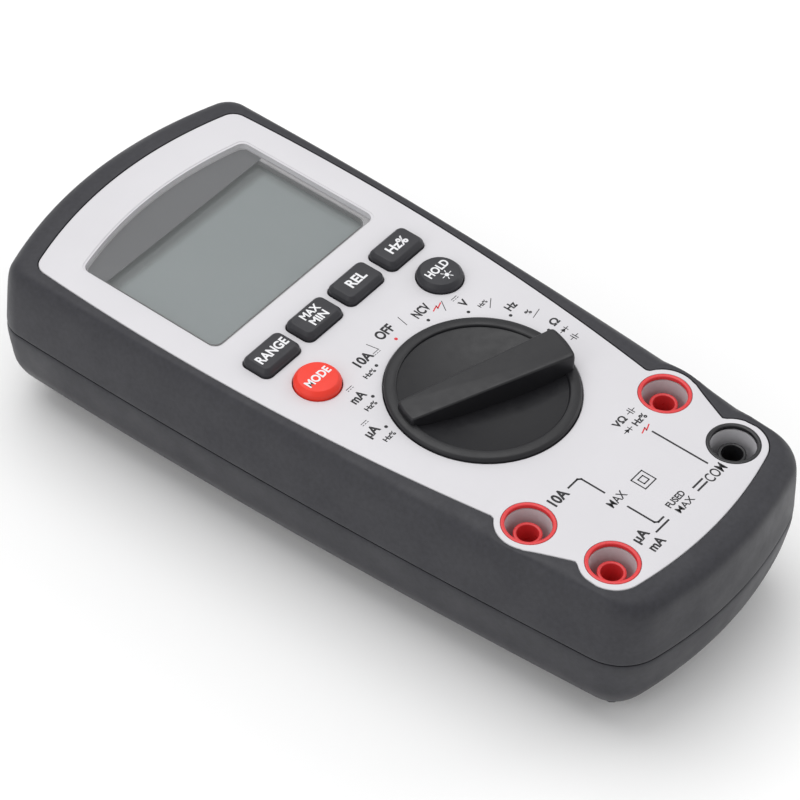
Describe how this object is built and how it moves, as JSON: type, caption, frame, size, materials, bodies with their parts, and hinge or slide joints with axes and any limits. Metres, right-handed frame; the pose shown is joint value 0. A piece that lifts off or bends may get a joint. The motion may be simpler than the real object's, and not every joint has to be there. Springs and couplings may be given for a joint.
{
  "type": "handheld digital multimeter",
  "caption": "Handheld digital multimeter: rubber-edged sealed case, display, keys, rotary function switch, test-lead sockets, fuses, battery and fold-out stand.",
  "frame": {"origin": "on the resting plane, under the middle of the case's length and width", "axes": "+X the meter's right, +Y towards the display end, +Z out of the front panel"},
  "size_m": [0.0824, 0.182, 0.0457],
  "materials": {
    "panel_plastic": "fine moulded texture",
    "bumper_rubber": "soft matt overmould",
    "case_plastic": "fine spark texture",
    "seal_rubber": "matt",
    "window_plastic": "clear polished polycarbonate",
    "mask_print": "printed grey border",
    "lcd_glass": "grey-green liquid crystal cell",
    "white_plastic": "satin",
    "key_plastic": "satin",
    "mode_key_plastic": "satin",
    "knob_plastic": "satin, fine texture",
    "socket_red": "moulded red",
    "socket_black": "moulded black",
    "steel": "zinc plated",
    "brass": "bright",
    "board": "green solder mask",
    "black_plastic": "satin",
    "blue_coating": "dipped epoxy",
    "shunt_alloy": "drawn copper-nickel wire",
    "battery_case": "printed steel jacket, plain",
    "fuse_body": "glazed ceramic tube"
  },
  "bodies": {
    "housing": {"backlight_panel": "white_plastic", "battery": "battery_case", "battery_door": "case_plastic", "battery_door_screw_lower": "steel", "battery_door_screw_upper": "steel", "battery_door_seal": "seal_rubber", "battery_snap": "black_plastic", "buzzer": "black_plastic", "case_gasket": "seal_rubber", "case_screw_1": "steel", "case_screw_2": "steel", "case_screw_3": "steel", "case_screw_4": "steel", "circuit_board": "board", "contact_strip": "seal_rubber", "current_shunt": "shunt_alloy", "detent_ring": "white_plastic", "display_mask": "mask_print", "display_window": "window_plastic", "front_bumper": "bumper_rubber", "front_case": "panel_plastic", "fuse_10a": "fuse_body", "fuse_10a_clip_left": "brass", "fuse_10a_clip_right": "brass", "fuse_ma": "fuse_body", "fuse_ma_clip_left": "brass", "fuse_ma_clip_right": "brass", "jack_contact_10a": "brass", "jack_contact_com": "brass", "jack_contact_ma": "brass", "jack_contact_volt": "brass", "jack_ring_10a": "socket_red", "jack_ring_com": "socket_black", "jack_ring_ma": "socket_red", "jack_ring_volt": "socket_red", "jack_tube_10a": "socket_red", "jack_tube_com": "socket_black", "jack_tube_ma": "socket_red", "jack_tube_volt": "socket_red", "keypad_mat": "seal_rubber", "knob_seal": "seal_rubber", "lcd_glass": "lcd_glass", "lcd_holder": "white_plastic", "main_chip": "black_plastic", "rear_bumper": "bumper_rubber", "rear_case": "case_plastic", "stand_pin": "steel", "varistor": "blue_coating"},
    "selector": {"selector_knob": "knob_plastic", "switch_rotor": "white_plastic", "click_ball_left": "steel", "click_ball_right": "steel", "wiper_contact": "brass"},
    "range_key": {"key_range": "key_plastic"},
    "max_min_key": {"key_max_min": "key_plastic"},
    "rel_key": {"key_rel": "key_plastic"},
    "hz_key": {"key_hz": "key_plastic"},
    "mode_key": {"key_mode": "mode_key_plastic"},
    "hold_key": {"key_hold": "key_plastic"},
    "stand": {"tilt_stand": "case_plastic"}
  },
  "joints": [
    {"name": "selector_turn", "type": "hinge", "parent": "housing", "child": "selector", "pos_m": [0, -0.0221, 0.04], "axis": [0, 0, 1], "range_deg": [-157.5, 0]},
    {"name": "range_press", "type": "slide", "parent": "housing", "child": "range_key", "axis": [0, 0, -1], "range_m": [0, 0.0006], "stiffness_N_per_m": 1500},
    {"name": "max_min_press", "type": "slide", "parent": "housing", "child": "max_min_key", "axis": [0, 0, -1], "range_m": [0, 0.0006], "stiffness_N_per_m": 1500},
    {"name": "rel_press", "type": "slide", "parent": "housing", "child": "rel_key", "axis": [0, 0, -1], "range_m": [0, 0.0006], "stiffness_N_per_m": 1500},
    {"name": "hz_press", "type": "slide", "parent": "housing", "child": "hz_key", "axis": [0, 0, -1], "range_m": [0, 0.0006], "stiffness_N_per_m": 1500},
    {"name": "mode_press", "type": "slide", "parent": "housing", "child": "mode_key", "axis": [0, 0, -1], "range_m": [0, 0.0006], "stiffness_N_per_m": 1500},
    {"name": "hold_press", "type": "slide", "parent": "housing", "child": "hold_key", "axis": [0, 0, -1], "range_m": [0, 0.0006], "stiffness_N_per_m": 1500},
    {"name": "stand_swing", "type": "hinge", "parent": "housing", "child": "stand", "pos_m": [0, -0.006, 0.0022], "axis": [1, 0, 0], "range_deg": [0, 70]}
  ]
}
